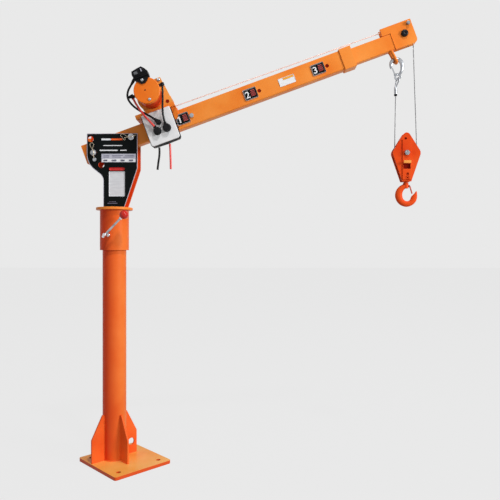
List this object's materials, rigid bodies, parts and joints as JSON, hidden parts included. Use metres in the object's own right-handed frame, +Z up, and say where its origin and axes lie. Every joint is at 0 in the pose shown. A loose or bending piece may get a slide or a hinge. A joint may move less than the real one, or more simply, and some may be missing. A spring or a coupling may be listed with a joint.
{
  "type": "davit crane",
  "caption": "Slewing davit crane on a bolted pedestal: telescopic box boom with an electric rope winch, tip sheave, hook block and load hook.",
  "frame": {"origin": "on the column's axis, on the underside of the base plate", "axes": "+Z up along the column, +X horizontal along the boom at rest, the picture looks along +Y"},
  "size_m": [1.6712, 0.4504, 2.1661],
  "materials": {
    "orange_paint": "glossy orange powder coat",
    "zinc": "bright zinc plate",
    "chrome": "polished",
    "red_knob": "glossy red",
    "drum_steel": "machined",
    "wire_rope": "stranded galvanised wire",
    "box_silver": "silver-white paint",
    "black_plastic": "fine matt grain",
    "black_rubber": "matt",
    "cable_black": "semi-gloss jacket",
    "cable_red": "semi-gloss jacket",
    "forged_orange": "glossy orange-red enamel"
  },
  "bodies": {
    "pedestal": {"base_plate": "orange_paint", "column_tube": "orange_paint", "foot_gussets": "orange_paint"},
    "head": {"slew_collar": "orange_paint", "head_flange": "orange_paint", "head_plate_front": "orange_paint", "head_plate_back": "orange_paint", "throat_web": "orange_paint", "head_pins": "zinc"},
    "clamp_lever": {"clamp_screw": "chrome", "clamp_knob": "red_knob"},
    "boom": {"boom_tube": "orange_paint", "boom_sleeve": "orange_paint", "lock_bolt": "zinc", "winch_bed": "orange_paint", "winch_frame": "orange_paint", "winch_drum": "drum_steel", "wound_rope": "wire_rope", "winch_motor": "orange_paint", "winch_gearbox": "orange_paint", "socket_box": "black_plastic", "control_box": "box_silver", "cable_boots": "black_rubber", "socket_cable": "cable_black", "motor_cable_left": "cable_red", "motor_cable_right": "cable_black", "battery_lead_black": "cable_black", "battery_lead_red": "cable_red", "rope_run": "wire_rope"},
    "boom_extension": {"extension_tube": "orange_paint", "tip_plates": "orange_paint", "tip_sheave": "drum_steel", "tip_pins": "black_plastic", "anchor_lug": "orange_paint", "tip_rope": "wire_rope"},
    "hook_fall": {"anchor_hook": "zinc", "rope_eye": "zinc", "dead_fall": "wire_rope", "block_cheeks": "forged_orange", "block_sheave": "drum_steel", "block_pins": "zinc"},
    "live_rope": {"live_fall": "wire_rope"},
    "load_hook": {"load_hook": "forged_orange"},
    "hook_latch": {"hook_latch": "forged_orange"},
    "anchor_latch": {"anchor_latch": "zinc"}
  },
  "joints": [
    {"name": "slew", "type": "hinge", "parent": "pedestal", "child": "head", "pos_m": [0, 0, 1.2], "axis": [0, 0, 1], "continuous": true},
    {"name": "clamp", "type": "hinge", "parent": "head", "child": "clamp_lever", "pos_m": [0, 0, 1.112], "axis": [0.1392, 0.9903, 0], "range_deg": [-15, 165]},
    {"name": "luff", "type": "hinge", "parent": "head", "child": "boom", "pos_m": [0.09209, 0, 1.58952], "axis": [0, -1, 0], "range_deg": [-20, 20]},
    {"name": "extend", "type": "slide", "parent": "boom", "child": "boom_extension", "axis": [0.9397, 0, 0.342], "range_m": [0, 0.702], "deforming": ["rope_run"]},
    {"name": "plumb", "type": "hinge", "parent": "boom_extension", "child": "hook_fall", "pos_m": [1.388, 0, 1.957], "axis": [0, -1, 0], "range_deg": [-20, 20]},
    {"name": "live_lean", "type": "hinge", "parent": "boom_extension", "child": "live_rope", "pos_m": [1.42243, 0, 2.09501], "axis": [0, -1, 0], "range_deg": [-15.4, 15.4], "deforming": ["live_fall"]},
    {"name": "hook_swivel", "type": "hinge", "parent": "hook_fall", "child": "load_hook", "pos_m": [1.4335, 0, 1.39], "axis": [0, 0, 1], "continuous": true},
    {"name": "hook_latch", "type": "hinge", "parent": "load_hook", "child": "hook_latch", "pos_m": [1.452, 0, 1.352], "axis": [0, 1, 0], "range_deg": [0, 35], "stiffness_Nm_per_rad": 0.05, "springref_deg": -20.05},
    {"name": "anchor_latch", "type": "hinge", "parent": "hook_fall", "child": "anchor_latch", "pos_m": [1.38, 0, 1.9], "axis": [0, 1, 0], "range_deg": [0, 35], "stiffness_Nm_per_rad": 0.03, "springref_deg": -20.05}
  ],
  "couplings": [
    {"joint": "plumb", "follows": "luff", "ratio": -1},
    {"joint": "live_lean", "follows": "luff", "ratio": -0.77}
  ]
}
